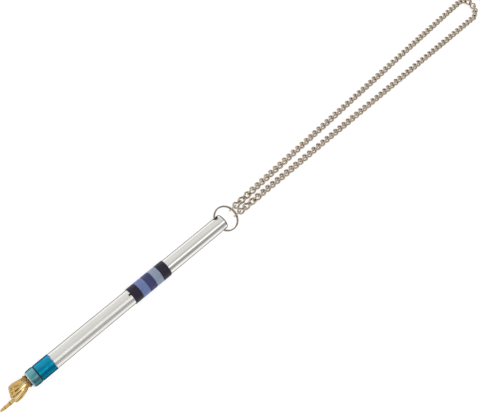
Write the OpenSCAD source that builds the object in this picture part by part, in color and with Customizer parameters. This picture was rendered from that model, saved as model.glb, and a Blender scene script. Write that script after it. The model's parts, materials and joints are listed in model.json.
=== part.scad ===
// Reading pointer: a gilt pointing hand on a metal barrel, with wound thread bands, a split ring and a
// curb chain. Millimetres. The barrel's axis is X, the hand points to -X and the chain runs to +X.
// The origin is on the axis, where the bare barrel starts behind its bright washer. The pointer lies on
// its thread bands on a table, and the chain lies on the same table.

/* [Barrel] */
// Outside diameter of the barrel tube
barrel_d = 10; // [9:0.1:11]
// Wall thickness of the barrel tube
barrel_wall = 1; // [0.8:0.1:1.2]
// Length of the barrel tube behind the front washer
barrel_len = 129.7; // [125:0.1:140]
// Height of the domed end of the rear plug
dome_h = 1.5; // [1.2:0.1:2.6]

/* [Nose] */
// Length of the pale nose cap
cap_len = 5.45; // [5:0.05:7]
// Length of the blue collar
collar_len = 9.85; // [8:0.05:11]
// Diameter of the collar
collar_d = 10.4; // [10.3:0.1:11]
// Width of the dark spacer between the cap and the collar
spacer_w = 0.6; // [0.4:0.1:1]
// Thickness of the bright washer between the collar and the barrel
washer_t = 0.5; // [0.5:0.1:1.2]

/* [Thread bands] */
// Distance from the bright washer to the first band
bands_x = 55.45; // [50:0.05:60]
// Widths of the five bands, from the hand's end
band_widths = [5.7, 5.4, 5.3, 5.2, 6.05];
// Diameter of the wound thread
thread_d = 0.4; // [0.3:0.02:0.5]
// Gap between the barrel and the wound thread
band_gap = 0.02; // [0.02:0.01:0.05]
// Length of the cut end of thread that lies in front of the first band
tail_len = 1.2; // [0.8:0.1:2]
// Thickness of the cut end, where its plies fray
tail_d = 0.75; // [0.4:0.05:0.8]

/* [Split ring] */
// Diameter of the hole that the ring passes through
ring_hole_d = 3.9; // [3.8:0.1:4.2]
// Distance from the ring hole to the end of the tube
ring_hole_inset = 2.5; // [2.5:0.1:3]
// Mean diameter of the split ring
ring_d = 16.4; // [16:0.1:16.8]
// Diameter of the ring's wire, wound twice round
ring_wire = 0.85; // [0.8:0.05:0.9]
// Angle that the ring slopes down from the barrel to the table
ring_tilt = 11.6; // [11.5:0.1:11.8]

/* [Chain] */
// Distance from one link to the next
link_pitch = 4.55; // [4.5:0.05:4.7]
// Diameter of the link's wire
link_wire = 1.15; // [1.05:0.05:1.2]
// Radius of the wire's centre line round a link's end
link_r = 1.8; // [1.75:0.05:1.85]
// Play between two links along the chain
link_play = 0.4; // [0.35:0.05:0.45]
// Twist of each end of a link away from its middle
link_twist = -38; // [-40:1:-36]
// Mean roll of the chain about its length as it lies
chain_roll = 50; // [46:1:52]
// Sway of the roll to either side of its mean
roll_sway = 6; // [0:1:7]
// Links in one sway of the roll
sway_links = 12.6; // [10:0.1:16]
// Roll that each of the first links takes up towards the upright jump links
first_roll = 22; // [21:1:23]
// Links in one strand from the ring to the turn
strand_links = 58; // [58:1:62]
// Angle of each strand away from the middle of the loop
strand_splay = 1.3; // [1.28:0.01:1.32]
// Turn of the chain away from the barrel's line
chain_yaw = 1.4; // [0:0.1:3]

/* [Hidden] */
$fn = 72;

barrel_r = barrel_d / 2;
bore_r = barrel_r - barrel_wall;
collar_r = collar_d / 2;
eps = 0.01;

// Where the nose parts meet along X, going forwards from the bare barrel
collar_x = -washer_t - collar_len;
cap_back_x = collar_x - spacer_w;
cap_front_x = cap_back_x - cap_len;
cap_front_r = 3.9;
core_front_x = cap_back_x - 3.6;
core_back_x = 10;
stud_r = 1.5;
stud_front_x = cap_front_x - 4.5;

// Starts of the bands
function sum_to(list, n) = n == 0 ? 0 : list[n - 1] + sum_to(list, n - 1);
band_x = [for (i = [0 : 4]) bands_x + sum_to(band_widths, i)];

// Split ring: its centre lies beyond the hole, so that the wire crosses the middle of both walls
ring_r = ring_d / 2;
hole_x = barrel_len - ring_hole_inset;
wall_r = barrel_r - barrel_wall / 2;
ring_out = sqrt(ring_r * ring_r - wall_r * wall_r);
ring_reach = ring_out + ring_r;

// Chain: the strands diverge to a turn of five links
turn_links = 5;
link_half = (link_pitch + link_wire + link_play) / 2;
turn_step = (180 + 2 * strand_splay) / (turn_links + 1);
turn_offsets = [for (k = [-2 : 2]) cos(k * turn_step)];
turn_width = link_pitch * sum_to(turn_offsets, turn_links);
strand_gap = turn_width / 2 - strand_links * link_pitch * sin(strand_splay);
links_per_group = 8;
rolled_links = 4;

// Jump links: upright ovals from the split ring to the first links
jump_wire = 0.95;
jump_r = 1.575;
jump_back = -0.3;
jump_front = 1.9;
chain_start = jump_front + jump_r - (link_half - link_pitch / 2);

// ---- shapes used more than once ----

// Solid of revolution about the barrel's axis, from points [distance along X, radius]
module turned(points) {
  rotate([90, 0, 90])
    rotate_extrude()
      polygon([for (p = points) [p[1], p[0]]]);
}

// Straight sleeve about the barrel's axis
module sleeve(x0, x1, r_in, r_out) {
  turned([[x0, r_in], [x0, r_out], [x1, r_out], [x1, r_in]]);
}

// Thread wound side by side round the barrel, from x0 over a width
module winding(x0, width) {
  turns = floor(width / thread_d);
  step = width / turns;
  rotate([90, 0, 90])
    rotate_extrude()
      union() {
        translate([barrel_r + band_gap + thread_d * 0.1, x0 + step * 0.2])
          square([thread_d * 0.5, width - step * 0.4]);
        for (i = [0 : turns - 1])
          translate([barrel_r + band_gap + thread_d * 0.51, x0 + (i + 0.5) * step])
            circle(d = thread_d * 1.02, $fn = 24);
      }
}

// Tapered limb of the hand between two points with their radii
module limb(a, ra, b, rb) {
  hull() {
    translate(a)
      sphere(r = ra, $fn = 20);
    translate(b)
      sphere(r = rb, $fn = 20);
  }
}

// Finger folded under the palm: knuckle, middle joint and tip
module folded_finger(knuckle, r) {
  middle = knuckle + [-1.5, 0.1, -2.2];
  tip = knuckle + [1.4, -0.1, -3.6];
  limb(knuckle + [3.2, -0.5, -0.2], r * 0.95, knuckle, r);
  limb(knuckle, r, middle, r * 0.92);
  limb(middle, r * 0.92, tip, r * 0.85);
}

// Half of a link's end, in the plane of XY, bulging to +X
module end_arc(r, wire) {
  rotate([0, 0, -90])
    rotate_extrude(angle = 180)
      translate([r, 0])
        circle(d = wire);
}

// Curb link along X, centred: two round ends twisted apart and the two legs between them
module curb_link() {
  arc_x = link_half - link_r;
  rise = link_r * sin(link_twist);
  leg_half = sqrt(arc_x * arc_x + rise * rise) + 0.1;
  for (side = [0, 180])
    rotate([0, 0, side])
      translate([arc_x, 0, 0])
        rotate([link_twist, 0, 0])
          end_arc(link_r, link_wire);
  for (side = [-1, 1])
    translate([0, side * link_r * cos(link_twist), 0])
      rotate([0, 90 - side * atan2(rise, arc_x), 0])
        cylinder(h = 2 * leg_half, d = link_wire * 0.98, center = true);
}

// A link lying in the chain, with its middle at a point and its length along a heading
module laid_link(middle, heading, roll) {
  translate(middle)
    rotate([roll, 0, heading])
      curb_link();
}

// Roll of link j in a strand: it sways along the chain, and the first links roll up from the jump links
function lie(side, j) = chain_roll + roll_sway * sin(360 * j / sway_links + side * 40)
  - max(0, rolled_links - j) * first_roll;

// Links of one strand, from first to last, on the +Y or -Y side of the loop
module strand(side, first, last) {
  for (j = [first : last]) {
    run = (j + 0.5) * link_pitch;
    laid_link([chain_start + run * cos(strand_splay), side * (strand_gap + run * sin(strand_splay)), 0],
      side * strand_splay, lie(side, j));
  }
}

// Path of the turn, as the point before each of its links
function turn_heading(k) = strand_splay - (k + 1) * turn_step;
function turn_point(k) = k == 0
  ? [chain_start + strand_links * link_pitch * cos(strand_splay), turn_width / 2, 0]
  : turn_point(k - 1) + link_pitch * [cos(turn_heading(k - 1)), sin(turn_heading(k - 1)), 0];

// Links of the turn: each is rolled a little further, until the chain lies the same way up again
module turn() {
  first = lie(1, strand_links - 1);
  last = 180 - lie(-1, strand_links - 1);
  for (k = [0 : turn_links - 1]) {
    heading = turn_heading(k);
    laid_link(turn_point(k) + link_pitch / 2 * [cos(heading), sin(heading), 0], heading,
      first + (last - first) * (k + 1) / (turn_links + 1));
  }
}

// Frame of the chain: it starts at the far side of the ring and turns by the chain's yaw
module on_ring() {
  translate([hole_x + ring_reach * cos(ring_tilt), 0, -ring_reach * sin(ring_tilt)])
    rotate([0, 0, chain_yaw])
      children();
}

// One rigid group of the chain, across both strands
module chain_group(n) {
  first = (n - 1) * links_per_group;
  last = min(first + links_per_group, strand_links) - 1;
  color("silver")
    on_ring() {
      for (side = [-1, 1])
        strand(side, first, last);
      if (last == strand_links - 1)
        turn();
    }
}

// ---- the pointer ----

module pointing_hand() {
  color("goldenrod")
    difference() {
      union() {
        // back of the hand, from the wrist to the knuckles
        hull() {
          translate([-20, 0.6, 0])
            scale([1, 1, 0.8])
              sphere(r = 3.3, $fn = 24);
          translate([-24.8, 2.3, 0.4])
            sphere(r = 1.9, $fn = 20);
          translate([-26.6, -2.4, 0.6])
            sphere(r = 1.6, $fn = 20);
        }
        // fist below the palm
        hull() {
          translate([-22, 0.5, -1.2])
            sphere(r = 2, $fn = 20);
          translate([-25.6, 1.4, -1.2])
            sphere(r = 1.9, $fn = 20);
        }
        folded_finger([-24.4, 3.2, 0.5], 1.25);
        folded_finger([-25.5, 1.3, 0.8], 1.35);
        folded_finger([-26.5, -0.7, 0.8], 1.35);
        // index finger
        limb([-24, -2.3, 0.7], 1.5, [-28.4, -2.8, 0.7], 1.3);
        limb([-28.4, -2.8, 0.7], 1.3, [-33, -2.95, 0.6], 1.05);
        limb([-33, -2.95, 0.6], 1.05, [-36.3, -2.9, 0.4], 0.7);
        // thumb beside it
        limb([-20.6, -2.2, -0.8], 1.5, [-24.4, -3.7, -0.7], 1.15);
        limb([-24.4, -3.7, -0.7], 1.15, [-27.6, -4, -0.4], 0.85);
        // wrist and its cuff
        turned([[cap_front_x - 4, 0], [cap_front_x - 4, 2.9], [cap_front_x - 2.6, 3.2],
          [cap_front_x - 1.6, 3.9], [cap_front_x, 3.6], [cap_front_x, 0]]);
      }
      translate([stud_front_x, 0, 0])
        rotate([0, 90, 0])
          cylinder(h = 10, r = stud_r + 0.02, $fn = 48);
    }
}

module hand_stud() {
  color("dimgray")
    translate([stud_front_x, 0, 0])
      rotate([0, 90, 0])
        cylinder(h = core_front_x + 3 - stud_front_x, r = stud_r);
}

module nose_cap() {
  bulge_r = collar_r + 0.1;
  color("cadetblue")
    difference() {
      turned([[cap_front_x, 0], [cap_front_x, cap_front_r], [cap_front_x + 0.3, 4.5],
        [cap_front_x + 0.9, 4.95], [cap_front_x + 1.9, 5.2], [cap_front_x + 3.4, bulge_r],
        [cap_back_x - 1.2, bulge_r], [cap_back_x, bulge_r - 0.15], [cap_back_x, 0]]);
      translate([core_front_x, 0, 0])
        rotate([0, 90, 0])
          cylinder(h = 10, r = bore_r);
      translate([cap_front_x - 1, 0, 0])
        rotate([0, 90, 0])
          cylinder(h = 10, r = stud_r);
    }
}

module spacer_ring() {
  color("black")
    sleeve(cap_back_x, collar_x, bore_r, collar_r - 0.2);
}

module teal_collar() {
  ease = 0.25;
  color("teal")
    turned([[collar_x, bore_r], [collar_x, collar_r - ease], [collar_x + ease, collar_r],
      [-washer_t - ease, collar_r], [-washer_t, collar_r - ease], [-washer_t, bore_r]]);
}

module bright_washer() {
  color("white")
    sleeve(-washer_t, 0, bore_r, barrel_r + 0.1);
}

// Core that the nose parts are threaded on, pressed into the tube behind them
module front_core() {
  color("gray")
    difference() {
      translate([core_front_x, 0, 0])
        rotate([0, 90, 0])
          cylinder(h = core_back_x - core_front_x, r = bore_r);
      translate([core_front_x - 1, 0, 0])
        rotate([0, 90, 0])
          cylinder(h = 4, r = stud_r);
    }
}

module barrel_tube() {
  color("lightgray")
    difference() {
      sleeve(0, barrel_len, bore_r, barrel_r);
      translate([hole_x, 0, 0])
        rotate([90, 0, 0])
          cylinder(h = 3 * barrel_d, d = ring_hole_d, center = true);
    }
}

module band_navy_front() {
  color("midnightblue")
    winding(band_x[0], band_widths[0]);
}

module band_periwinkle() {
  color("cornflowerblue")
    winding(band_x[1], band_widths[1]);
}

module band_indigo() {
  color("darkslateblue")
    winding(band_x[2], band_widths[2]);
}

module band_pale_blue() {
  color("lightsteelblue")
    winding(band_x[3], band_widths[3]);
}

module band_navy_rear() {
  color("midnightblue")
    winding(band_x[4], band_widths[4]);
}

// Cut end of the front band's thread, lying on the barrel beside the band
module thread_end() {
  color("black")
    rotate([-14, 0, 0])
      translate([bands_x - eps, 0, barrel_r + tail_d / 2])
        rotate([0, -90, 0])
          cylinder(h = tail_len, d1 = tail_d, d2 = tail_d * 0.7);
}

module rear_plug() {
  steps = 6;
  spigot = 0.5;
  dome = [for (i = [0 : steps]) [barrel_len + 0.3 + (dome_h - 0.3) * sin(90 * i / steps),
    barrel_r * cos(90 * i / steps)]];
  color("lightgray")
    turned(concat([[barrel_len - spigot, 0], [barrel_len - spigot, bore_r],
      [barrel_len, bore_r], [barrel_len, barrel_r]], dome));
}

// ---- the ring and the chain ----

// Two turns of wire, one on the other, as they lie pressed together
module split_ring() {
  color("silver")
    translate([hole_x, 0, 0])
      rotate([0, ring_tilt, 0])
        translate([ring_out, 0, 0])
          rotate_extrude()
            translate([ring_r, 0])
              for (side = [-1, 1])
                translate([0, side * (ring_wire / 2 - eps)])
                  circle(d = ring_wire);
}

module jump_links() {
  color("silver")
    on_ring()
      for (side = [-1, 1])
        translate([0, side * strand_gap, 0])
          rotate([90, 0, 0]) {
            translate([jump_front, 0, 0])
              end_arc(jump_r, jump_wire);
            translate([jump_back, 0, 0])
              rotate([0, 0, 180])
                end_arc(jump_r, jump_wire);
            for (leg = [-1, 1])
              translate([jump_back, leg * jump_r, 0])
                rotate([0, 90, 0])
                  cylinder(h = jump_front - jump_back, d = jump_wire);
          }
}

module chain_1() chain_group(1);
module chain_2() chain_group(2);
module chain_3() chain_group(3);
module chain_4() chain_group(4);
module chain_5() chain_group(5);
module chain_6() chain_group(6);
module chain_7() chain_group(7);
module chain_8() chain_group(8);

pointing_hand();
hand_stud();
nose_cap();
spacer_ring();
teal_collar();
bright_washer();
front_core();
barrel_tube();
band_navy_front();
band_periwinkle();
band_indigo();
band_pale_blue();
band_navy_rear();
thread_end();
rear_plug();
split_ring();
jump_links();
chain_1();
chain_2();
chain_3();
chain_4();
chain_5();
chain_6();
chain_7();
chain_8();
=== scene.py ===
"""Reading pointer with a gilt hand, thread bands, a split ring and a looped curb chain.

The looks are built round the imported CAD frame. Lengths in the code are millimetres and are
scaled to metres when a mesh is made. +X runs along the barrel from the hand to the chain,
+Z is up from the table, and the origin is where the bare barrel starts behind its collar.
"""

import json
import math

import bpy
import numpy as np
from mathutils import Matrix, Vector


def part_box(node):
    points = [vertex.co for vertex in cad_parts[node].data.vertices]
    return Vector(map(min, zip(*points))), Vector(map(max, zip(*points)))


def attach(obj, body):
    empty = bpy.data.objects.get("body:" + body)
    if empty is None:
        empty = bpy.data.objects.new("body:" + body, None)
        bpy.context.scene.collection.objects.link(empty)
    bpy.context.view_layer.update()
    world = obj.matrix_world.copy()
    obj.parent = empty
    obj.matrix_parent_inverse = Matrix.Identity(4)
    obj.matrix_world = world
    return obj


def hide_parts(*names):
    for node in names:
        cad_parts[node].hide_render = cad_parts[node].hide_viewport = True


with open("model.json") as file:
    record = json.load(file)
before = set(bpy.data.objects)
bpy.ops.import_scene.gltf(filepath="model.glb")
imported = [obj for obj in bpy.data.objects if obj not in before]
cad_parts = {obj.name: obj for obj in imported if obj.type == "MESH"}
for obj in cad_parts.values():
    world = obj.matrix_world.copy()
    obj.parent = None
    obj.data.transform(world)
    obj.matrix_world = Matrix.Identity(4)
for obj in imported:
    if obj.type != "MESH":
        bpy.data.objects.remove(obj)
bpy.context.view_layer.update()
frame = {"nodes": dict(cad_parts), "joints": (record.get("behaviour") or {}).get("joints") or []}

MM = 0.001
TAU = 2 * math.pi

# ---- sizes shared with the CAD ----

BARREL_R = 5.0
BARREL_WALL = 1.0
BARREL_END_X = 129.7
CAP_FRONT_X = -16.4
CAP_BACK_X = -10.95
COLLAR_FRONT_X = -10.35
COLLAR_BACK_X = -0.5
COLLAR_R = 5.2
CORE_R = 4.02
STUD_R = 1.52
THREAD_D = 0.4
RING_R = 8.2
RING_WIRE = 0.85
RING_TILT = math.radians(11.6)
LINK_PITCH = 4.55
LINK_WIRE = 1.15
LINK_R = 1.8
LINK_HALF = (LINK_PITCH + LINK_WIRE + 0.4) / 2
LINK_TWIST = math.radians(-38)
STRAND_LINKS = 58
STRAND_SPLAY = math.radians(1.3)
TURN_LINKS = 5
LINKS_PER_GROUP = 8
JUMP_WIRE = 0.95
JUMP_R = 1.575
JUMP_BACK = -0.3
JUMP_FRONT = 1.9
TABLE_Z = -5.43

# ---- sizes of the looks alone: thicker wire, and a thicker and longer thread end than the CAD's ----

RING_WIRE_SHOWN = 0.9
LINK_WIRE_SHOWN = 1.22
TAIL_LENGTH = 1.5
TAIL_R = 0.58

joints = {j["name"]: j for j in frame["joints"]}
RING_HOLE_X = joints["ring_swing"]["pos_m"][0] / MM


# ---- camera, floor and light ----

def make_camera():
    """Camera high above the hand, looking down the barrel at a slant, with the picture turned."""
    tilt = math.radians(22.8)
    turn = math.radians(39.48)
    down = Vector((math.sin(tilt), 0, -math.cos(tilt)))
    along = Vector((math.cos(tilt), 0, math.sin(tilt)))
    across = Vector((0, -1, 0))
    right = math.cos(turn) * along + math.sin(turn) * across
    up = math.sin(turn) * along - math.cos(turn) * across
    pose = Matrix((right, up, -down)).transposed().to_4x4()
    pose.translation = Vector((-19.6, 0.425, 394.6)) * MM
    lens = bpy.data.cameras.new("camera")
    lens.lens = 50
    lens.sensor_width = 36
    lens.clip_start = 0.01
    camera = bpy.data.objects.new("camera", lens)
    camera.matrix_world = pose
    bpy.context.scene.collection.objects.link(camera)
    bpy.context.scene.camera = camera


def area_light(name, place, target, size, power):
    """Rectangular light at a place, its long side along X, facing a target; in metres."""
    lamp = bpy.data.lights.new(name, "AREA")
    lamp.shape = "RECTANGLE"
    lamp.size, lamp.size_y = size
    lamp.energy = power
    light = bpy.data.objects.new(name, lamp)
    place, target = Vector(place), Vector(target)
    back = (place - target).normalized()
    long_side = Vector((1, 0, 0))
    side = back.cross(long_side).normalized()
    long_side = side.cross(back)
    light.matrix_world = Matrix((long_side, side, back)).transposed().to_4x4()
    light.location = place
    bpy.context.scene.collection.objects.link(light)


def make_studio():
    """Pale tent: mid grey above, a dark gap low on the near side, and one long soft strip."""
    world = bpy.data.worlds.new("studio")
    bpy.context.scene.world = world
    world.use_nodes = True
    tree = world.node_tree
    coords = tree.nodes.new("ShaderNodeTexCoord")
    split = tree.nodes.new("ShaderNodeSeparateXYZ")
    tree.links.new(coords.outputs["Generated"], split.inputs[0])
    angle = tree.nodes.new("ShaderNodeMath")
    angle.operation = "ARCTAN2"
    tree.links.new(split.outputs["Y"], angle.inputs[0])
    tree.links.new(split.outputs["Z"], angle.inputs[1])
    share = tree.nodes.new("ShaderNodeMapRange")
    share.inputs["From Min"].default_value = -math.pi
    share.inputs["From Max"].default_value = math.pi
    tree.links.new(angle.outputs[0], share.inputs["Value"])
    ramp = tree.nodes.new("ShaderNodeValToRGB")
    tree.links.new(share.outputs[0], ramp.inputs[0])
    stops = [(-96, 0.95), (-84, 0.84), (-68, 0.40), (-46, 0.28), (-36, 0.56), (-20, 0.76),
             (-6, 0.66), (8, 0.60), (30, 0.76), (74, 0.80), (86, 0.62), (98, 0.95)]
    ramp.color_ramp.elements[0].position = 0
    ramp.color_ramp.elements[0].color = (0.95, 0.95, 0.95, 1)
    ramp.color_ramp.elements[1].position = 1
    ramp.color_ramp.elements[1].color = (0.95, 0.95, 0.95, 1)
    for degrees, value in stops:
        stop = ramp.color_ramp.elements.new(0.5 + degrees / 360)
        stop.color = (value, value, value * 0.99, 1)
    tree.links.new(ramp.outputs["Color"], tree.nodes["Background"].inputs["Color"])
    tree.nodes["Background"].inputs["Strength"].default_value = 1.0
    area_light("strip", (0.12, -0.36, 1.15), (0.12, 0, 0), (2.0, 0.20), 1.4)

    me = bpy.data.meshes.new("floor")
    half = 3.0
    z = TABLE_Z * MM
    corners = [(-half, -half, z), (half, -half, z), (half, half, z), (-half, half, z)]
    me.from_pydata(corners, [], [(0, 1, 2, 3)])
    floor = bpy.data.objects.new("floor", me)
    bpy.context.scene.collection.objects.link(floor)
    paper = bpy.data.materials.new("white_table")
    paper.use_nodes = True
    shader = paper.node_tree.nodes["Principled BSDF"]
    shader.inputs["Base Color"].default_value = (0.5, 0.5, 0.5, 1)
    shader.inputs["Roughness"].default_value = 0.7
    shader.inputs["Specular IOR Level"].default_value = 0.2
    shader.inputs["Emission Color"].default_value = (1, 1, 1, 1)
    shader.inputs["Emission Strength"].default_value = 0.74
    me.materials.append(paper)
    view = bpy.context.scene.view_settings
    view.view_transform = "Standard"
    view.look = "None"


make_camera()
make_studio()


# ---- material building ----

class Paint:
    """One procedural material: small wrappers that add nodes and return their outputs."""

    def __init__(self, name, **sockets):
        self.material = bpy.data.materials.new(name)
        self.material.use_nodes = True
        self.tree = self.material.node_tree
        self.shader = self.tree.nodes["Principled BSDF"]
        self.material.diffuse_color = (*sockets.get("Base Color", (0.5, 0.5, 0.5)), 1)
        for key, value in sockets.items():
            self.set(key, value)

    def set(self, key, value):
        """Give a shader input a node's output, a colour or a number."""
        socket = self.shader.inputs[key]
        if isinstance(value, bpy.types.NodeSocket):
            self.tree.links.new(value, socket)
        elif isinstance(value, tuple):
            socket.default_value = (*value, 1)
        else:
            socket.default_value = value

    def node(self, kind, *values, **options):
        """New shader node with its options set and its inputs filled in order."""
        node = self.tree.nodes.new("ShaderNode" + kind)
        for key, value in options.items():
            setattr(node, key, value)
        for i, value in enumerate(values):
            if value is None:
                continue
            if isinstance(value, bpy.types.NodeSocket):
                self.tree.links.new(value, node.inputs[i])
            else:
                node.inputs[i].default_value = value
        return node

    def coords(self, stretch=(1, 1, 1)):
        """Object coordinates in millimetres, stretched by a factor along each axis."""
        place = self.node("TexCoord").outputs["Object"]
        mapping = self.node("Mapping", place)
        mapping.inputs["Scale"].default_value = [s / MM for s in stretch]
        return mapping.outputs[0]

    def noise(self, scale, detail=3.0, stretch=(1, 1, 1), rough=0.5):
        node = self.node("TexNoise")
        self.tree.links.new(self.coords(stretch), node.inputs["Vector"])
        node.inputs["Scale"].default_value = scale
        node.inputs["Detail"].default_value = detail
        node.inputs["Roughness"].default_value = rough
        return node.outputs["Fac"]

    def math(self, operation, a, b=0.0, c=0.0):
        return self.node("Math", a, b, c, operation=operation).outputs[0]

    def ramp(self, value, low, high, out_low=0.0, out_high=1.0, smooth=False):
        """Value mapped from one range to another and held at the ends."""
        kind = "SMOOTHSTEP" if smooth else "LINEAR"
        node = self.node("MapRange", value, low, high, out_low, out_high, interpolation_type=kind)
        return node.outputs[0]

    def mix(self, share, a, b):
        node = self.node("Mix", data_type="RGBA")
        for socket, value in zip((node.inputs["Factor"], node.inputs[6], node.inputs[7]), (share, a, b)):
            if isinstance(value, bpy.types.NodeSocket):
                self.tree.links.new(value, socket)
            else:
                socket.default_value = (*value, 1) if isinstance(value, tuple) else value
        return node.outputs[2]

    def bump(self, height, distance, strength=1.0):
        """Bump of a height field whose full range stands distance millimetres proud."""
        node = self.node("Bump")
        node.inputs["Strength"].default_value = strength
        node.inputs["Distance"].default_value = distance * MM
        self.tree.links.new(height, node.inputs["Height"])
        self.tree.links.new(node.outputs[0], self.shader.inputs["Normal"])

    def occlusion(self, reach):
        """Openness of the surface within a reach in millimetres, 1 where nothing is near."""
        node = self.node("AmbientOcclusion", samples=6, only_local=False)
        node.inputs["Distance"].default_value = reach * MM
        return node.outputs["AO"]

    def attribute(self, name):
        return self.node("Attribute", attribute_name=name).outputs["Fac"]

    def radius(self):
        """Distance from the barrel's axis and place along it, in millimetres."""
        split = self.node("SeparateXYZ", self.coords())
        y2 = self.math("MULTIPLY", split.outputs[1], split.outputs[1])
        z2 = self.math("MULTIPLY", split.outputs[2], split.outputs[2])
        return self.math("SQRT", self.math("ADD", y2, z2)), split.outputs[0]


def shaded_sides(p, colour, start, end, share):
    """Painted shade: colour deepened towards the two sides of the barrel."""
    y = p.node("SeparateXYZ", p.coords()).outputs[1]
    side = p.ramp(p.math("ABSOLUTE", y), start, end, 0.0, 1.0 - share, smooth=True)
    return p.mix(side, colour, (0.0, 0.0, 0.0))


def ring_hole_dark_rim(p):
    """Dark rim round the split ring's hole, stronger on the +Y side."""
    place = p.node("SeparateXYZ", p.coords())
    x = p.math("SUBTRACT", place.outputs[0], RING_HOLE_X - 0.3)
    z = p.math("MULTIPLY", place.outputs[2], 0.58)
    far = p.math("SQRT", p.math("ADD", p.math("MULTIPLY", x, x), p.math("MULTIPLY", z, z)))
    painted_highlight_and_hole_rim = p.ramp(place.outputs[1], -0.5, 0.5, 0.2, 1.0)
    return p.math("MULTIPLY", painted_highlight_and_hole_rim, p.ramp(far, 2.0, 2.7, 1.0, 0.0, smooth=True))


def aluminium_tube():
    """Drawn tube: satin towards the hand, brighter behind the bands, dull inside and coloured near black
    there as painted shade, with painted shade towards its two sides and a dark rim round the split ring's
    hole.
    """
    p = Paint("drawn_aluminium", **{"Metallic": 1.0, "Anisotropic": 0.35,
                                    "Specular Tint": (0.25, 0.24, 0.23)})
    r, x = p.radius()
    # painted shade: the inner surface of the tube is coloured near black and made rougher; the dark rim round
    # the split ring's hole is joined to it
    inside = p.math("MAXIMUM", p.ramp(r, 4.8, 4.93, 1.0, 0.0), ring_hole_dark_rim(p))
    streaks = p.noise(4.0, 3.0, (0.015, 1, 1), 0.6)
    clouds = p.noise(0.12, 4.0)
    lit = p.mix(p.ramp(streaks, 0.3, 0.7), (0.86, 0.845, 0.815), (0.93, 0.915, 0.88))
    lit = p.mix(p.ramp(clouds, 0.35, 0.75, 0.0, 0.35), lit, (0.84, 0.81, 0.77))
    # painted shade towards the two sides of the tube
    lit = shaded_sides(p, lit, 4.45, 4.95, 0.08)
    p.set("Base Color", p.mix(inside, lit, (0.06, 0.05, 0.045)))
    satin = p.ramp(x, 50.0, 88.0, 0.31, 0.14, smooth=True)
    satin = p.math("ADD", satin, p.ramp(streaks, 0.3, 0.7, -0.03, 0.04))
    p.set("Roughness", p.math("ADD", satin, p.math("MULTIPLY", inside, 0.4)))
    p.bump(streaks, 0.004, 0.5)
    return p.material


def polished_aluminium():
    """Turned bright metal, with a dark seam where the plug's flange meets the tube."""
    p = Paint("polished_aluminium", **{"Metallic": 1.0, "Specular Tint": (0.3, 0.29, 0.28)})
    turned = p.noise(3.0, 3.0, (1, 0.08, 0.08))
    x = p.node("SeparateXYZ", p.coords()).outputs[0]
    metal = p.mix(turned, (0.90, 0.89, 0.87), (0.97, 0.96, 0.93))
    seam = p.math("MULTIPLY", p.ramp(x, BARREL_END_X - 0.2, BARREL_END_X, 0.0, 1.0),
                  p.ramp(x, BARREL_END_X + 0.5, BARREL_END_X + 0.85, 1.0, 0.0))
    p.set("Base Color", p.mix(seam, metal, (0.05, 0.045, 0.04)))
    p.set("Roughness", p.ramp(turned, 0.3, 0.7, 0.16, 0.30))
    p.bump(turned, 0.005, 0.5)
    return p.material


def anodised(name, deep, lit, rough, painted_highlight_and_hole_rim, chip_and_glint_x):
    """Dyed satin anodising: turning lines, cloudy dye, random wear, a paler painted highlight towards the +Y
    side, painted shade towards the -Y side and the two sides, and a chipped edge down to near-white metal
    that also paints glints.

    The fifth argument is the share of paler painted highlight on the +Y side, the sixth the range of X that
    is chipped down to the metal.
    """
    p = Paint(name, **{"Metallic": 0.9, "Specular Tint": (0.15, 0.3, 0.35)})
    clouds = p.noise(0.35, 5.0, rough=0.6)
    lines = p.noise(6.0, 2.0, (1, 0.05, 0.05))
    colour = p.mix(p.ramp(clouds, 0.3, 0.7, smooth=True), deep, lit)
    wear_patina_and_painted_highlight = p.ramp(p.noise(1.1, 4.0), 0.62, 0.78, 0.0, 0.35)
    pale = tuple(min(1.0, c * 1.3 + 0.05) for c in lit)
    place = p.node("SeparateXYZ", p.coords())
    # painted highlight: paler colour towards the +Y side
    wear_patina_and_painted_highlight = p.math("MAXIMUM", wear_patina_and_painted_highlight, p.ramp(place.outputs[1], -0.5, 4.0, 0.0, painted_highlight_and_hole_rim, smooth=True))
    # painted shade: darker colour towards the -Y side
    colour = p.mix(p.ramp(place.outputs[1], -4.0, 0.0, 0.45, 0.0, smooth=True), colour,
                   tuple(c * 0.45 for c in deep))
    # painted shade towards the two sides
    colour = shaded_sides(p, p.mix(wear_patina_and_painted_highlight, colour, pale), 3.9, 5.1, 0.2)
    # chipped edge down to near-white metal, which also paints glints and a highlight along that edge
    chips_and_glints = p.ramp(p.noise(0.9, 3.0, rough=0.7), 0.42, 0.5)
    edge = p.ramp(place.outputs[0], chip_and_glint_x[0], chip_and_glint_x[1], 0.0, 1.0)
    p.set("Base Color", p.mix(p.math("MULTIPLY", edge, chips_and_glints), colour, (0.95, 0.95, 0.93)))
    p.set("Roughness", p.ramp(lines, 0.3, 0.7, rough - 0.05, rough + 0.08))
    p.bump(lines, 0.006, 0.5)
    return p.material


def thread(name, colour, pale):
    """Waxed sewing thread: fibres along the ply, and slow changes of dye from turn to turn."""
    p = Paint(name, **{"Roughness": 0.5, "Sheen Weight": 0.1, "Sheen Roughness": 0.4,
                       "Specular IOR Level": 0.35})
    fibres = p.noise(9.0, 4.0, (1.4, 0.7, 0.7), 0.7)
    turns = p.noise(2.3, 1.0, (1, 0.02, 0.02))
    dye = p.mix(p.ramp(turns, 0.3, 0.7), colour, pale)
    dark = tuple(c * 0.4 for c in colour)
    dye = p.mix(p.ramp(fibres, 0.35, 0.7), dark, dye)
    p.set("Base Color", dye)
    p.bump(fibres, 0.03, 0.6)
    return p.material


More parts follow.
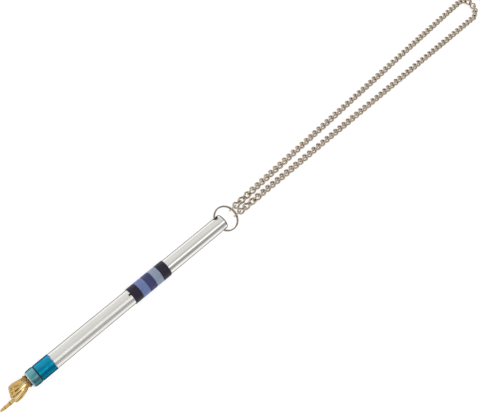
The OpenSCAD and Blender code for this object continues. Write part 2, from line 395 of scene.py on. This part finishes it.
def nickel(name, low, high):
    """Nickel plate: warm grey, bright on the outside, with dark brown painted shade where the links meet."""
    p = Paint(name, **{"Metallic": 1.0, "Specular Tint": (0.2, 0.17, 0.14)})
    each = p.node("NewGeometry").outputs["Random Per Island"]
    clouds = p.noise(0.9, 4.0, rough=0.6)
    plate = p.mix(p.ramp(clouds, 0.35, 0.7), low, high)
    plate = p.mix(p.math("MULTIPLY", each, 0.25), plate, tuple(c * 0.8 for c in low))
    # painted shade: dark brown wherever the links lie close together
    shade = p.ramp(p.occlusion(1.1), 0.25, 0.8, 1.0, 0.0, smooth=True)
    p.set("Base Color", p.mix(shade, plate, (0.075, 0.055, 0.04)))
    p.set("Roughness", p.ramp(clouds, 0.3, 0.7, 0.17, 0.32))
    p.bump(p.noise(5.0, 3.0), 0.012, 0.5)
    return p.material


def gilding():
    """Gilt casting: gold, with a paler painted highlight along the index bone, brown in its creases, and
    brown painted shade in its hollows, on faces turned sideways or down, and towards the wrist.
    """
    p = Paint("gilt_casting", **{"Metallic": 1.0, "Specular Tint": (0.5, 0.3, 0.1)})
    crease = p.attribute("crease")
    grain = p.noise(1.6, 5.0, rough=0.65)
    gold = p.mix(p.ramp(grain, 0.3, 0.7), (0.66, 0.42, 0.13), (0.92, 0.64, 0.25))
    place = p.node("SeparateXYZ", p.coords())
    # distance across from the index bone's line, y = bone_slope * x + bone_y
    bone_slope, bone_y = 0.46, 8.96
    bone = p.math("SUBTRACT", p.math("MULTIPLY", place.outputs[0], bone_slope), place.outputs[1])
    across = p.math("ABSOLUTE", p.math("ADD", bone, bone_y))
    # painted highlight: paler gold in a band along the index bone
    painted_highlight_and_hole_rim = p.ramp(across, 0.6, 1.7, 1.0, 0.0, smooth=True)
    gold = p.mix(painted_highlight_and_hole_rim, gold, (1.0, 0.80, 0.42))
    wear_patina_and_painted_highlight = p.math("ADD", crease, p.ramp(grain, 0.3, 0.6, 0.12, -0.1))
    # painted shade: dark brown where nearby surfaces close in
    shade = p.ramp(p.occlusion(2.0), 0.35, 0.9, 0.9, 0.0, smooth=True)
    # painted shade: darker on faces turned sideways or down
    facing = p.node("SeparateXYZ", p.node("NewGeometry").outputs["Normal"]).outputs[2]
    painted_flank_shade = p.ramp(facing, 0.25, 0.8, 0.7, 0.0, smooth=True)
    # painted shade: darker towards the wrist
    painted_cuff_shade = p.ramp(place.outputs[0], -18.6, -17.2, 0.0, 0.75, smooth=True)
    # brown patina in the creases, joined with the painted shade
    patina_and_painted_shade = p.math("MAXIMUM", p.ramp(wear_patina_and_painted_highlight, 0.15, 0.8, 0.0, 0.95, smooth=True), shade)
    patina_and_painted_shade = p.math("MAXIMUM", patina_and_painted_shade, p.math("MAXIMUM", painted_flank_shade, painted_cuff_shade))
    p.set("Base Color", p.mix(patina_and_painted_shade, gold, (0.16, 0.075, 0.018)))
    p.set("Roughness", p.ramp(patina_and_painted_shade, 0.0, 1.0, 0.16, 0.45))
    p.bump(grain, 0.025, 0.6)
    return p.material


def black_rubber():
    """Dull black spacer."""
    p = Paint("black_rubber", **{"Roughness": 0.7})
    grain = p.noise(4.0, 3.0)
    p.set("Base Color", p.mix(grain, (0.004, 0.006, 0.008), (0.02, 0.03, 0.035)))
    p.bump(grain, 0.02)
    return p.material


def turned_metal(name, low, high):
    """Lathe-turned metal that is hidden inside the barrel."""
    p = Paint(name, **{"Metallic": 1.0})
    lines = p.noise(5.0, 3.0, (1, 0.06, 0.06))
    p.set("Base Color", p.mix(lines, low, high))
    p.set("Roughness", p.ramp(lines, 0.3, 0.7, 0.25, 0.4))
    p.bump(lines, 0.01, 0.5)
    return p.material


TUBE = aluminium_tube()
POLISHED = polished_aluminium()
# fifth argument: share of paler painted highlight on the +Y side; sixth: X range of the chipped edge, which
# also paints glints
TEAL = anodised("teal_anodised", (0.0, 0.22, 0.38), (0.008, 0.34, 0.56), 0.30, 0.3, (-0.95, -0.7))
PALE = anodised("pale_anodised", (0.075, 0.27, 0.33), (0.15, 0.38, 0.43), 0.30, 0.8, (-15.3, -16.1))
NICKEL = nickel("nickel_plate", (0.58, 0.48, 0.375), (0.78, 0.675, 0.555))
# a darker copy of the chain's nickel for the split ring, which paints shade on its thin wire
SHADED_NICKEL = nickel("shaded_nickel_plate", (0.34, 0.28, 0.22), (0.48, 0.41, 0.33))
GILT = gilding()
RUBBER = black_rubber()
STEEL = turned_metal("turned_steel", (0.40, 0.40, 0.42), (0.52, 0.52, 0.54))
CORE = turned_metal("turned_aluminium", (0.74, 0.74, 0.75), (0.84, 0.84, 0.85))
NAVY = thread("navy_thread", (0.034, 0.024, 0.058), (0.064, 0.050, 0.110))
PERIWINKLE = thread("periwinkle_thread", (0.28, 0.37, 0.78), (0.41, 0.54, 0.98))
BLACK = thread("waxed_black_thread", (0.010, 0.008, 0.010), (0.018, 0.015, 0.018))
INDIGO = thread("indigo_thread", (0.086, 0.092, 0.26), (0.140, 0.155, 0.39))
PALE_BLUE = thread("pale_blue_thread", (0.50, 0.60, 0.84), (0.70, 0.82, 1.00))


# ---- mesh building ----

def piece(name, verts, faces, material, body, replaced):
    """Mesh object from points in millimetres, riding on a body and standing for CAD nodes."""
    me = bpy.data.meshes.new(name)
    points = np.asarray(verts, float) * MM
    me.from_pydata(points.tolist(), [], [tuple(int(i) for i in f) for f in faces])
    me.update()
    me.polygons.foreach_set("use_smooth", [True] * len(me.polygons))
    me.materials.append(material)
    obj = bpy.data.objects.new(name, me)
    bpy.context.scene.collection.objects.link(obj)
    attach(obj, body)
    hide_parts(*replaced)
    return obj


def lathe(rows, segments=144):
    """Closed solid of revolution about X. rows is a list of [x or array of x, radius] rings,
    in order round the section, the first joined to the last."""
    angles = np.arange(segments) * TAU / segments
    verts = []
    for x, r in rows:
        ring = np.empty((segments, 3))
        ring[:, 0] = x
        ring[:, 1] = r * np.cos(angles)
        ring[:, 2] = r * np.sin(angles)
        verts.append(ring)
    faces = []
    n = len(rows)
    for i in range(n):
        a, b = i * segments, ((i + 1) % n) * segments
        for j in range(segments):
            k = (j + 1) % segments
            faces.append((a + j, b + j, b + k, a + k))
    return np.concatenate(verts), faces


def frames_along(points, closed):
    """Unit normals carried along a line of points without twist, and the tangents."""
    n = len(points)
    if closed:
        tangents = np.roll(points, -1, 0) - np.roll(points, 1, 0)
    else:
        tangents = np.gradient(points, axis=0)
    tangents /= np.linalg.norm(tangents, axis=1)[:, None]
    start = np.cross(tangents[0], [0.3, 0.5, 0.81])
    normal = start / np.linalg.norm(start)
    normals = np.empty_like(points)
    for i in range(n):
        normal = normal - tangents[i] * normal.dot(tangents[i])
        normal /= np.linalg.norm(normal)
        normals[i] = normal
    if closed:
        end = normal - tangents[0] * normal.dot(tangents[0])
        end /= np.linalg.norm(end)
        slip = math.atan2(np.cross(end, normals[0]).dot(tangents[0]), end.dot(normals[0]))
        for i in range(n):
            a = slip * i / n
            side = np.cross(tangents[i], normals[i])
            normals[i] = math.cos(a) * normals[i] + math.sin(a) * side
    return tangents, normals


def sweep(points, radii, sides, closed=True):
    """Tube round a line of points, with one radius for each point."""
    points = np.asarray(points, float)
    radii = np.broadcast_to(radii, len(points))
    tangents, normals = frames_along(points, closed)
    sides_dir = np.cross(tangents, normals)
    angles = np.arange(sides) * TAU / sides
    rings = (points[:, None] + radii[:, None, None] * (
        np.cos(angles)[None, :, None] * normals[:, None]
        + np.sin(angles)[None, :, None] * sides_dir[:, None]))
    n = len(points)
    faces = []
    for i in range(n if closed else n - 1):
        a, b = i * sides, ((i + 1) % n) * sides
        for j in range(sides):
            k = (j + 1) % sides
            faces.append((a + j, a + k, b + k, b + j))
    if not closed:
        faces.append(tuple(range(sides))[::-1])
        faces.append(tuple(range((n - 1) * sides, n * sides)))
    return rings.reshape(-1, 3), faces


def join(parts):
    """One vertex and face list from several."""
    verts, faces, offset = [], [], 0
    for v, f in parts:
        verts.append(v)
        faces += [tuple(i + offset for i in face) for face in f]
        offset += len(v)
    return np.concatenate(verts), faces


def rotate(points, axis, angle):
    """Points turned about one axis through the origin."""
    c, s = math.cos(angle), math.sin(angle)
    turn = {"x": [[1, 0, 0], [0, c, -s], [0, s, c]],
            "y": [[c, 0, s], [0, 1, 0], [-s, 0, c]],
            "z": [[c, -s, 0], [s, c, 0], [0, 0, 1]]}[axis]
    return np.asarray(points) @ np.array(turn).T


# ---- the hand ----

def surface_net(field, origin, step):
    """Quads round the inside (below zero) of a field sampled on a regular grid."""
    inside = field < 0
    shape = [n - 1 for n in field.shape]
    corners = [(i, j, k) for i in (0, 1) for j in (0, 1) for k in (0, 1)]

    def shifted(array, c):
        return array[c[0]:c[0] + shape[0], c[1]:c[1] + shape[1], c[2]:c[2] + shape[2]]

    count = sum(shifted(inside, c).astype(np.int8) for c in corners)
    active = (count > 0) & (count < 8)
    cells = np.argwhere(active)
    index = np.full(shape, -1)
    index[active] = np.arange(len(cells))
    total = np.zeros((len(cells), 3))
    hits = np.zeros(len(cells))
    for a in corners:
        for axis in range(3):
            if a[axis]:
                continue
            b = list(a)
            b[axis] = 1
            fa = field[tuple((cells + a).T)]
            fb = field[tuple((cells + b).T)]
            cross = (fa < 0) != (fb < 0)
            t = fa[cross] / (fa[cross] - fb[cross])
            total[cross] += np.array(a) + t[:, None] * (np.array(b) - a)
            hits[cross] += 1
    verts = np.array(origin) + step * (cells + total / hits[:, None])
    faces = []
    for axis in range(3):
        ahead = np.take(inside, range(1, inside.shape[axis]), axis)
        here = np.take(inside, range(0, inside.shape[axis] - 1), axis)
        edges = np.argwhere(ahead != here)
        u, v = [a for a in range(3) if a != axis]
        ok = np.all([edges[:, u] > 0, edges[:, v] > 0, edges[:, u] < shape[u], edges[:, v] < shape[v]], 0)
        edges = edges[ok]
        du, dv = np.zeros(3, int), np.zeros(3, int)
        du[u], dv[v] = 1, 1
        quad = np.stack([index[tuple((edges - du - dv).T)], index[tuple((edges - dv).T)],
                         index[tuple(edges.T)], index[tuple((edges - du).T)]], 1)
        flip = here[tuple(edges.T)] == (axis == 1)
        quad[flip] = quad[flip][:, ::-1]
        faces.append(quad)
    return verts, np.concatenate(faces)


class Sculpt:
    """A signed field built from smooth unions and cuts, in millimetres."""

    def __init__(self, low, high, step):
        self.low, self.step = np.array(low, float), step
        axes = [np.arange(a, b + step, step) for a, b in zip(low, high)]
        self.x, self.y, self.z = np.meshgrid(*axes, indexing="ij")
        self.field = np.full(self.x.shape, 50.0)

    def capsule(self, a, ra, b, rb, flat=1.0):
        a, b = np.array(a, float), np.array(b, float)
        d = b - a
        px, py, pz = self.x - a[0], self.y - a[1], self.z - a[2]
        t = np.clip((px * d[0] + py * d[1] + pz * d[2]) / d.dot(d), 0, 1)
        return np.sqrt((px - t * d[0]) ** 2 + (py - t * d[1]) ** 2
                       + ((pz - t * d[2]) / flat) ** 2) - (ra + (rb - ra) * t)

    def ball(self, c, r):
        q = np.sqrt(((self.x - c[0]) / r[0]) ** 2 + ((self.y - c[1]) / r[1]) ** 2
                    + ((self.z - c[2]) / r[2]) ** 2)
        return (q - 1) * min(r)

    def add(self, other, soft):
        h = np.clip(0.5 + 0.5 * (self.field - other) / soft, 0, 1)
        self.field = self.field + (other - self.field) * h - soft * h * (1 - h)

    def cut(self, other, soft):
        h = np.clip(0.5 - 0.5 * (self.field + other) / soft, 0, 1)
        self.field = self.field + (-other - self.field) * h + soft * h * (1 - h)

    def chain(self, points, soft, flat=1.0):
        """Limb through points [x, y, z, radius], added as one smooth form."""
        limb = None
        for a, b in zip(points, points[1:]):
            part = self.capsule(a[:3], a[3], b[:3], b[3], flat)
            limb = part if limb is None else np.minimum(limb, part)
        self.add(limb, soft)


def make_hand():
    """Pointing hand, modelled as one smooth field and meshed."""
    s = Sculpt((-37.6, -6.0, -5.4), (-15.9, 5.4, 4.4), 0.11)
    # back of the hand: four bones that fan out from the wrist
    s.chain([(-18.4, 0.6, -0.1, 3.1), (-20.6, 0.9, 0.0, 3.05), (-22.6, 0.9, 0.0, 2.85)], 0.6, 0.85)
    s.chain([(-19.4, -1.3, 0.6, 1.55), (-23.0, -2.2, 0.85, 1.45), (-27.0, -2.75, 0.75, 1.42)], 0.7)
    s.chain([(-19.6, -0.3, 0.8, 1.5), (-23.0, -0.4, 1.15, 1.45), (-25.8, -0.7, 1.15, 1.55)], 0.65)
    s.chain([(-19.6, 0.8, 0.6, 1.5), (-22.8, 1.25, 0.95, 1.45), (-25.0, 1.45, 0.95, 1.5)], 0.65)
    s.chain([(-19.6, 2.3, 0.3, 1.5), (-22.4, 3.1, 0.6, 1.4), (-24.1, 3.4, 0.55, 1.45)], 0.65)
    # palm and heel
    s.add(s.ball((-22.6, 0.9, -1.2), (4.4, 3.4, 1.9)), 0.8)
    # folded fingers: knuckle, middle joint below and in front, tip tucked into the palm
    for k, (x, y, z, r) in enumerate([(-26.1, -0.75, 1.1, 1.45), (-25.2, 1.35, 0.95, 1.42),
                                      (-24.3, 3.4, 0.55, 1.3)]):
        finger = [(x, y, z, r), (x - 1.35, y + 0.1, z - 1.5, r * 0.93),
                  (x - 0.75, y + 0.12, z - 3.5, r * 0.86), (x + 1.5, y, z - 4.1, r * 0.8)]
        s.chain(finger, 0.22)
    # the fist's front, where the folded fingers lie against each other
    s.add(s.capsule((-26.0, 3.5, 0.1), 1.0, (-27.7, -0.9, 0.3), 1.05), 0.5)
    # index finger with its joints
    s.chain([(-26.9, -2.7, 0.75, 1.35), (-28.9, -2.8, 0.65, 1.08), (-30.7, -2.9, 0.55, 1.1)], 0.5)
    s.chain([(-30.7, -2.9, 0.55, 1.08), (-32.3, -2.95, 0.45, 0.93), (-33.9, -2.95, 0.4, 0.96)], 0.35)
    s.chain([(-33.9, -2.95, 0.4, 0.94), (-35.2, -2.95, 0.3, 0.84), (-36.3, -2.93, 0.2, 0.7)], 0.35)
    # thumb along the near side
    s.chain([(-20.6, -1.9, -0.9, 1.7), (-23.2, -3.2, -0.9, 1.35), (-24.8, -3.7, -0.8, 1.22)], 0.5)
    s.chain([(-24.8, -3.7, -0.8, 1.2), (-26.4, -4.05, -0.6, 0.98), (-27.55, -4.15, -0.45, 0.86)], 0.25)
    # web between the thumb and the palm
    s.add(s.capsule((-21.6, -1.6, -0.7), 1.3, (-24.4, -2.6, -0.5), 0.8), 0.7)
    # creases: over the joints, at the knuckles' front and between the folded fingers
    for x, z, r in [(-30.75, 1.75, 0.16), (-31.05, 1.72, 0.12), (-34.0, 1.45, 0.13), (-28.4, 1.85, 0.13)]:
        s.cut(s.capsule((x, -3.9, z - 0.3), r, (x, -2.1, z - 0.25), r), 0.16)
    s.cut(s.capsule((-28.6, -1.75, 1.7), 0.22, (-27.6, -1.75, -3.5), 0.25), 0.25)
    s.cut(s.capsule((-27.2, 0.3, 1.5), 0.2, (-26.4, 0.3, -3.7), 0.22), 0.22)
    s.cut(s.capsule((-26.4, 2.4, 1.2), 0.2, (-25.6, 2.4, -3.7), 0.22), 0.22)
    for x0, y0, x1, y1 in [(-25.7, -1.7, -22.8, -1.3), (-25.0, 0.35, -22.6, 0.45), (-24.0, 2.4, -22.0, 1.9)]:
        s.cut(s.capsule((x0, y0, 2.4), 0.2, (x1, y1, 2.3), 0.06), 0.5)
    # nail of the index finger and of the thumb
    s.cut(s.ball((-36.2, -3.0, 1.25), (0.75, 0.5, 0.32)), 0.1)
    s.cut(s.ball((-27.6, -4.5, 0.62), (0.62, 0.42, 0.3)), 0.1)
    # cuff: a flared collar with four lobes and a slit above and below
    cuff_y = s.y - 0.35
    angle = np.arctan2(cuff_y + 0.25, s.z)
    lobes = np.cos(4 * angle + math.pi)
    radial = np.sqrt(cuff_y ** 2 + s.z ** 2)
    mid = 3.4 + 0.3 * lobes
    roll = np.sqrt((s.x + 17.35) ** 2 + np.clip(radial - mid, -0.2, None) ** 2 * 1.1) - 0.72
    body = np.maximum(radial - (3.15 + 0.25 * lobes), np.abs(s.x + 17.5) - 1.1)
    s.add(np.minimum(roll, body), 0.3)
    rear = np.maximum(radial - 3.5, np.abs(s.x + 16.9) - 0.6)
    s.add(rear, 0.2)
    for side in (-1, 1):
        s.cut(s.capsule((-16.4, side * 1.4 + 0.3, 3.9), 0.26, (-19.4, -0.5 * side + 0.3, 3.2), 0.4), 0.25)
    s.cut(s.capsule((-19.2, -3.1, 1.7), 0.25, (-19.2, 3.6, 1.7), 0.25), 0.3)
    # flat back, against the cap's face
    s.cut(CAP_FRONT_X - 0.02 - s.x, 0.02)
    # how hollow the surface is at each point, for the patina
    field = s.field
    lap = -6 * field
    for axis in range(3):
        lap += np.roll(field, 1, axis) + np.roll(field, -1, axis)
    lap /= s.step ** 2
    for _ in range(2):
        for axis in range(3):
            lap = 0.5 * lap + 0.25 * (np.roll(lap, 1, axis) + np.roll(lap, -1, axis))
    verts, faces = surface_net(field, s.low, s.step)
    cell = np.clip(((verts - s.low) / s.step).round().astype(int), 0, np.array(field.shape) - 1)
    crease = np.clip(-lap[tuple(cell.T)] / 2.2, 0, 1)
    obj = piece("gilt_hand", verts, faces, GILT, "pointer", ["pointing_hand"])
    layer = obj.data.attributes.new("crease", "FLOAT", "POINT")
    layer.data.foreach_set("value", crease.astype(np.float32))


make_hand()


# ---- nose: cap, spacer, collar and washer ----

def rounded(points, soft, steps=4):
    """Closed section [x, r] with each corner rounded off by soft millimetres."""
    out = []
    n = len(points)
    for i, (x, r) in enumerate(points):
        here = np.array((x, r), float)
        before = np.array(points[i - 1], float) - here
        after = np.array(points[(i + 1) % n], float) - here
        cut = min(soft, np.linalg.norm(before) * 0.45, np.linalg.norm(after) * 0.45)
        a = here + before / np.linalg.norm(before) * cut
        b = here + after / np.linalg.norm(after) * cut
        for t in np.linspace(0, 1, steps):
            out.append((1 - t) ** 2 * a + 2 * t * (1 - t) * here + t ** 2 * b)
    return [(p[0], p[1]) for p in out]


def wobble(segments, size, waves, seed):
    """Small smooth unevenness round a circle."""
    draw = np.random.default_rng(seed)
    angles = np.arange(segments) * TAU / segments
    total = np.zeros(segments)
    for n in waves:
        total += draw.normal() * np.cos(n * angles + draw.uniform(0, TAU)) / math.sqrt(n)
    return size * total / max(1e-6, np.abs(total).max())


def make_nose():
    """Cap with a rounded shoulder, and collar whose rear edge is uneven."""
    front, back = CAP_FRONT_X, CAP_BACK_X
    bulge = COLLAR_R + 0.1
    cap = [(front, STUD_R), (front, 3.9), (front + 0.3, 4.5), (front + 0.9, 4.95), (front + 1.9, 5.2),
           (front + 3.4, bulge), (back - 1.2, bulge), (back - 0.05, bulge - 0.13), (back - 0.02, CORE_R),
           (back - 3.58, CORE_R), (back - 3.58, STUD_R)]
    v, f = lathe(rounded(cap, 0.35, 5))
    piece("nose_cap_turned", v, f, PALE, "pointer", ["nose_cap"])
    segments = 144
    edge = wobble(segments, 0.16, (2, 3, 5, 7, 11, 17), 3)
    front_edge = wobble(segments, 0.04, (3, 5, 9), 4)
    collar = [(COLLAR_FRONT_X, CORE_R), (COLLAR_FRONT_X, COLLAR_R), (COLLAR_BACK_X, COLLAR_R),
              (COLLAR_BACK_X, CORE_R)]
    middle_x, middle_r = (COLLAR_FRONT_X + COLLAR_BACK_X) / 2, (COLLAR_R + CORE_R) / 2
    rows = []
    for x, r in rounded(collar, 0.22, 5):
        if r > middle_r:
            x = x + edge - 0.1 if x > middle_x else x + front_edge
        rows.append((x, r))
    v, f = lathe(rows, segments)
    piece("teal_collar_sleeve", v, f, TEAL, "pointer", ["teal_collar"])


make_nose()


# ---- thread bands ----

def make_band(name, node, material, seed):
    """Two-ply thread wound helically round the barrel, each turn a little uneven."""
    low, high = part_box(node)
    x0, width = low.x / MM, (high.x - low.x) / MM
    turns = int(width / THREAD_D)
    step = width / turns
    base = [(x0 + 0.03, BARREL_R), (x0 + 0.03, BARREL_R + 0.2), (x0 + width - 0.03, BARREL_R + 0.2),
            (x0 + width - 0.03, BARREL_R)]
    draw = np.random.default_rng(seed)
    per_turn = 168
    n = (turns - 1) * per_turn + int(per_turn * 0.98)
    u = np.arange(n) / per_turn
    drift = np.interp(u, np.arange(turns + 1), draw.normal(0, 0.025, turns + 1))
    lift = np.interp(u, np.arange(turns + 1), draw.normal(0, 0.012, turns + 1))
    # each turn lies straight for most of the way round, then steps over by its own width
    over = np.clip((u % 1 - 0.42) / 0.16, 0, 1)
    laid = np.floor(u) + over * over * (3 - 2 * over)
    x = x0 + step * 0.5 + (width - step) * laid / laid[-1]
    x += drift * np.clip(np.minimum(laid, laid[-1] - laid), 0, 1)
    start = draw.uniform(0, TAU)
    a = start + TAU * u
    out = np.stack([np.zeros(n), np.cos(a), np.sin(a)], 1)
    centre = out * (BARREL_R + THREAD_D * 0.5 + lift)[:, None]
    centre[:, 0] = x
    sides = 10
    phi = np.arange(sides) * TAU / sides
    ply = phi[None] - (u * 19 * TAU)[:, None]
    r = step * (0.5 + 0.055 * np.cos(2 * ply))
    r *= np.clip(np.minimum(np.arange(n), n - 1 - np.arange(n)) / 6 + 0.2, 0, 1)[:, None]
    axial = np.array([1.0, 0, 0])
    rings = (centre[:, None] + (r * np.cos(phi))[..., None] * out[:, None]
             + (r * np.sin(phi))[..., None] * axial)
    faces = []
    for i in range(n - 1):
        p, q = i * sides, (i + 1) * sides
        faces += [(p + j, p + (j + 1) % sides, q + (j + 1) % sides, q + j) for j in range(sides)]
    faces.append(tuple(range(sides))[::-1])
    faces.append(tuple(range((n - 1) * sides, n * sides)))
    v, f = join([(rings.reshape(-1, 3), faces), lathe(base, 96)])
    piece(name, v, f, material, "pointer", [node])


make_band("thread_navy_front", "band_navy_front", NAVY, 11)
make_band("thread_periwinkle", "band_periwinkle", PERIWINKLE, 12)
make_band("thread_indigo", "band_indigo", INDIGO, 13)
make_band("thread_pale_blue", "band_pale_blue", PALE_BLUE, 14)
make_band("thread_navy_rear", "band_navy_rear", NAVY, 15)


# ---- split ring ----

def make_split_ring():
    """Nearly two turns of wire: the lower turn steps up to the upper one over a short stretch."""
    gap_from, gap_to = math.radians(-116), math.radians(-80)
    start, stop = gap_to, gap_from + 2 * TAU
    a = np.linspace(start, stop, 380)
    step_from, step_to = gap_from + TAU, gap_to + TAU
    t = np.clip((a - step_from) / (step_to - step_from), 0, 1)
    level = RING_WIRE * (t * t * (3 - 2 * t) - 0.5) * 0.99
    joint = Vector(joints["ring_swing"]["pos_m"]) / MM
    wall = BARREL_R - BARREL_WALL / 2
    out = math.sqrt(RING_R ** 2 - wall ** 2)
    local = np.stack([out + RING_R * np.cos(a), RING_R * np.sin(a), level], 1)
    points = rotate(local, "y", RING_TILT) + np.array(joint)
    n = len(points)
    ends = np.minimum(np.arange(n), n - 1 - np.arange(n))
    radii = RING_WIRE_SHOWN / 2 * np.minimum(1, 0.86 + 0.07 * ends)
    v, f = sweep(points, radii, 20, closed=False)
    piece("split_ring_coil", v, f, SHADED_NICKEL, "ring", ["split_ring"])


make_split_ring()


# ---- chain ----

def link_line(half, r, twist, rings=60):
    """Centre line of a curb link: an oval whose ends are turned apart about its length."""
    x0 = half - r
    arc, leg = math.pi * r, 2 * x0
    s = (np.arange(rings) + 0.5) * 2 * (arc + leg) / rings
    x, q = np.empty(rings), np.empty(rings)
    for i, d in enumerate(s):
        if d < leg:
            x[i], q[i] = -x0 + d, r
        elif d < leg + arc:
            u = (d - leg) / r
            x[i], q[i] = x0 + r * math.sin(u), r * math.cos(u)
        elif d < 2 * leg + arc:
            x[i], q[i] = x0 - (d - leg - arc), -r
        else:
            u = (d - 2 * leg - arc) / r
            x[i], q[i] = -x0 - r * math.sin(u), -r * math.cos(u)
    psi = twist * np.sin(np.clip(x / x0, -1, 1) * math.pi / 2)
    return np.stack([x, q * np.cos(psi), q * np.sin(psi)], 1)


turn_step = (math.pi + 2 * STRAND_SPLAY) / (TURN_LINKS + 1)
turn_width = LINK_PITCH * sum(math.cos(k * turn_step) for k in range(-2, 3))
strand_gap = turn_width / 2 - STRAND_LINKS * LINK_PITCH * math.sin(STRAND_SPLAY)
chain_start = JUMP_FRONT + JUMP_R - (LINK_HALF - LINK_PITCH / 2)
chain_foot = np.array(joints["chain_on_ring"]["pos_m"]) / MM
chain_axis = joints["chain_on_ring"]["axis"]
chain_yaw = math.atan2(chain_axis[0], -chain_axis[1])


def lie(side, j):
    """Roll of link j of a strand about its length, as the chain lies on the table."""
    sway = 6 * math.sin(math.radians(360 * j / 12.6 + side * 40))
    return math.radians(50 + sway - max(0, 4 - j) * 22)


def on_ring(points):
    return rotate(points, "z", chain_yaw) + chain_foot


def all_links():
    """Middle, heading and roll of every link, by the body that it belongs to."""
    places = {n: [] for n in range(1, 9)}
    for side in (1, -1):
        for j in range(STRAND_LINKS):
            run = (j + 0.5) * LINK_PITCH
            middle = (chain_start + run * math.cos(STRAND_SPLAY),
                      side * (strand_gap + run * math.sin(STRAND_SPLAY)), 0)
            places[j // LINKS_PER_GROUP + 1].append((middle, side * STRAND_SPLAY, lie(side, j)))
    first, last = lie(1, STRAND_LINKS - 1), math.pi - lie(-1, STRAND_LINKS - 1)
    point = np.array([chain_start + STRAND_LINKS * LINK_PITCH * math.cos(STRAND_SPLAY), turn_width / 2, 0])
    for k in range(TURN_LINKS):
        heading = STRAND_SPLAY - (k + 1) * turn_step
        ahead = LINK_PITCH * np.array([math.cos(heading), math.sin(heading), 0])
        roll = first + (last - first) * (k + 1) / (TURN_LINKS + 1)
        places[8].append((point + ahead / 2, heading, roll))
        point = point + ahead
    return places


def make_chain():
    """Curb links in their rigid groups, and the two jump links that hold them on the ring."""
    line = link_line(LINK_HALF, LINK_R, LINK_TWIST)
    radii = np.full(len(line), LINK_WIRE_SHOWN / 2)
    seam = 5
    radii[seam] *= 0.88
    link, faces = sweep(line, radii, 14)
    for n, places in all_links().items():
        parts = []
        for middle, heading, roll in places:
            v = rotate(rotate(link, "x", roll), "z", heading) + np.array(middle)
            parts.append((on_ring(v), faces))
        v, f = join(parts)
        piece(f"curb_links_{n}", v, f, NICKEL, f"chain_{n}", [f"chain_{n}"])
    half = (JUMP_FRONT - JUMP_BACK) / 2 + JUMP_R
    oval = rotate(link_line(half, JUMP_R, 0.0), "x", math.pi / 2)
    radii = np.full(len(oval), JUMP_WIRE / 2)
    radii[3] *= 0.85
    jump, faces = sweep(oval + np.array([(JUMP_FRONT + JUMP_BACK) / 2, 0, 0]), radii, 14)
    v, f = join([(on_ring(jump + np.array([0, side * strand_gap, 0])), faces) for side in (-1, 1)])
    piece("jump_link_pair", v, f, NICKEL, "chain_1", ["jump_links"])


make_chain()


# ---- loose end of the front band's thread ----

def make_thread_end():
    """Short frayed end of thread that stands out in front of the first band."""
    low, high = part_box("thread_end")
    start = np.array([high.x, (low.y + high.y) / 2, low.z]) / MM
    n = 22
    t = np.linspace(0, 1, n)
    around = math.radians(14) + 0.05 * t
    r = BARREL_R + 0.38 + 0.03 * t
    x = start[0] + 0.2 - TAIL_LENGTH * t
    points = np.stack([x, r * np.sin(around), r * np.cos(around)], 1)
    radii = (TAIL_R - 0.14 * t) * (1 + 0.08 * np.sin(t * 40)) * np.where(t > 0.94, 0.8, 1.0)
    v, f = sweep(points, radii, 10, closed=False)
    piece("thread_tail", v, f, BLACK, "pointer", ["thread_end"])


make_thread_end()


# ---- carried-over CAD nodes ----

KEPT = {"barrel_tube": TUBE, "rear_plug": POLISHED, "bright_washer": POLISHED, "spacer_ring": RUBBER,
        "front_core": CORE, "hand_stud": STEEL}
for node_name, finish in KEPT.items():
    node = frame["nodes"][node_name]
    node.data.materials.clear()
    node.data.materials.append(finish)
